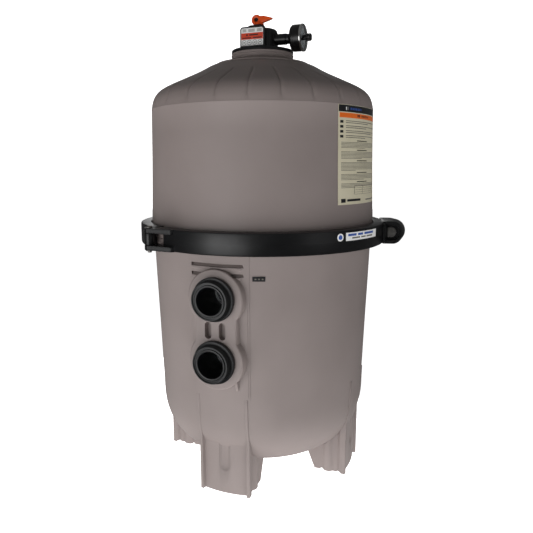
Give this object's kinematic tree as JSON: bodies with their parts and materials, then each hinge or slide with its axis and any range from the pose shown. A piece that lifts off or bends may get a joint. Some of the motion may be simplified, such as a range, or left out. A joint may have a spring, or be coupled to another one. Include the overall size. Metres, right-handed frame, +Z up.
{
  "type": "vertical-grid pool filter tank",
  "caption": "Moulded upright pool filter tank on moulded feet: two halves held by a hinged band clamp, side ports, top relief valve and pressure gauge, filter grids inside.",
  "frame": {"origin": "middle of the whole filter's bounding box in plan, at the height of the feet's soles; the tank's own axis stands 23.7 mm towards -X and 3.5 mm towards +Y of it", "axes": "+Z up, -Y the way the two ports face, +X the way the pressure gauge points"},
  "size_m": [0.6974, 0.657, 1.195],
  "materials": {
    "tank_plastic": "moulded, fine grain, satin taupe",
    "black_plastic": "glass-filled, satin black",
    "grey_plastic": "moulded light grey",
    "grid_cloth": "woven filter cloth",
    "orange_plastic": "moulded orange",
    "rubber": "black seal rubber",
    "stainless": "stainless steel",
    "label_film": "printed cream film",
    "white_card": "printed white film",
    "clear_plastic": "clear moulded lens"
  },
  "bodies": {
    "root": {"lower_tank": "tank_plastic", "upper_tank": "tank_plastic", "tank_seal_ring": "rubber", "clamp_left_rear": "black_plastic", "clamp_hinge_pin_left": "stainless", "clamp_hinge_pin_rear": "stainless", "clamp_hinge_clip_left": "stainless", "clamp_hinge_clip_rear": "stainless", "upper_port_fitting": "black_plastic", "upper_port_gasket": "rubber", "upper_port_lock_nut": "black_plastic", "lower_port_fitting": "black_plastic", "lower_port_gasket": "rubber", "lower_port_lock_nut": "black_plastic", "valve_body": "black_plastic", "valve_seal_ring": "rubber", "relief_strainer": "grey_plastic", "gauge_case": "black_plastic", "gauge_bezel": "stainless", "gauge_dial": "white_card", "gauge_lens": "clear_plastic", "inlet_diffuser": "grey_plastic", "outlet_elbow": "grey_plastic", "outlet_standpipe": "grey_plastic", "grid_collector": "grey_plastic", "grid_base": "grey_plastic", "filter_grid_1": "grid_cloth", "filter_grid_2": "grid_cloth", "filter_grid_3": "grid_cloth", "filter_grid_4": "grid_cloth", "filter_grid_5": "grid_cloth", "filter_grid_6": "grid_cloth", "filter_grid_7": "grid_cloth", "filter_grid_8": "grid_cloth", "tie_rod": "stainless", "tie_rod_washer": "stainless", "tie_rod_nut": "stainless", "main_label": "label_film", "date_plate": "black_plastic", "valve_label": "white_card"},
    "clamp_front_segment": {"clamp_front": "black_plastic", "clamp_label": "white_card", "clamp_label_dot": "white_card"},
    "clamp_right_rear_segment": {"clamp_right_rear": "black_plastic", "clamp_nut": "stainless"},
    "clamp_bolt_carriage": {"clamp_bolt_washer": "stainless"},
    "clamp_bolt_screw": {"clamp_bolt": "stainless"},
    "relief_handle_body": {"relief_handle": "orange_plastic"},
    "gauge_needle_body": {"gauge_needle": "black_plastic"},
    "gauge_knob_body": {"gauge_knob": "black_plastic"},
    "drain_seal_carriage": {"drain_seal": "rubber"},
    "drain_plug_screw": {"drain_plug": "black_plastic"}
  },
  "joints": [
    {"name": "clamp_front_swing", "type": "hinge", "parent": "root", "child": "clamp_front_segment", "pos_m": [-0.19625, -0.29178, 0.642], "axis": [0, 0, -1], "range_deg": [0, 95]},
    {"name": "clamp_rear_swing", "type": "hinge", "parent": "root", "child": "clamp_right_rear_segment", "pos_m": [-0.22809, 0.27771, 0.642], "axis": [0, 0, 1], "range_deg": [0, 95]},
    {"name": "clamp_bolt_travel", "type": "slide", "parent": "clamp_front_segment", "child": "clamp_bolt_carriage", "axis": [0.2588, -0.9659, 0], "range_m": [0, 0.0245]},
    {"name": "clamp_bolt_turn", "type": "hinge", "parent": "clamp_bolt_carriage", "child": "clamp_bolt_screw", "pos_m": [0.30568, 0.09176, 0.642], "axis": [0.2588, -0.9659, 0], "range_deg": [0, 5040]},
    {"name": "relief_handle_turn", "type": "hinge", "parent": "root", "child": "relief_handle_body", "pos_m": [-0.0337, 0.0035, 1.1693], "axis": [0, 0, 1], "range_deg": [0, 90]},
    {"name": "gauge_needle_turn", "type": "hinge", "parent": "root", "child": "gauge_needle_body", "pos_m": [0.0789, 0.0035, 1.13], "axis": [1, 0, 0], "range_deg": [-270, 0], "stiffness_Nm_per_rad": 0.002},
    {"name": "gauge_knob_turn", "type": "hinge", "parent": "root", "child": "gauge_knob_body", "pos_m": [0.1013, 0.0035, 1.13], "axis": [1, 0, 0], "continuous": true},
    {"name": "drain_travel", "type": "slide", "parent": "root", "child": "drain_seal_carriage", "axis": [-0.7071, 0.7071, 0], "range_m": [0, 0.025]},
    {"name": "drain_plug_turn", "type": "hinge", "parent": "drain_seal_carriage", "child": "drain_plug_screw", "pos_m": [-0.21321, 0.19301, 0.104], "axis": [-0.7071, 0.7071, 0], "range_deg": [0, 1800]}
  ],
  "couplings": [
    {"joint": "clamp_bolt_turn", "follows": "clamp_bolt_travel", "rad_per_m": 3590},
    {"joint": "drain_travel", "follows": "drain_plug_turn", "m_per_rad": 0.00079498}
  ]
}
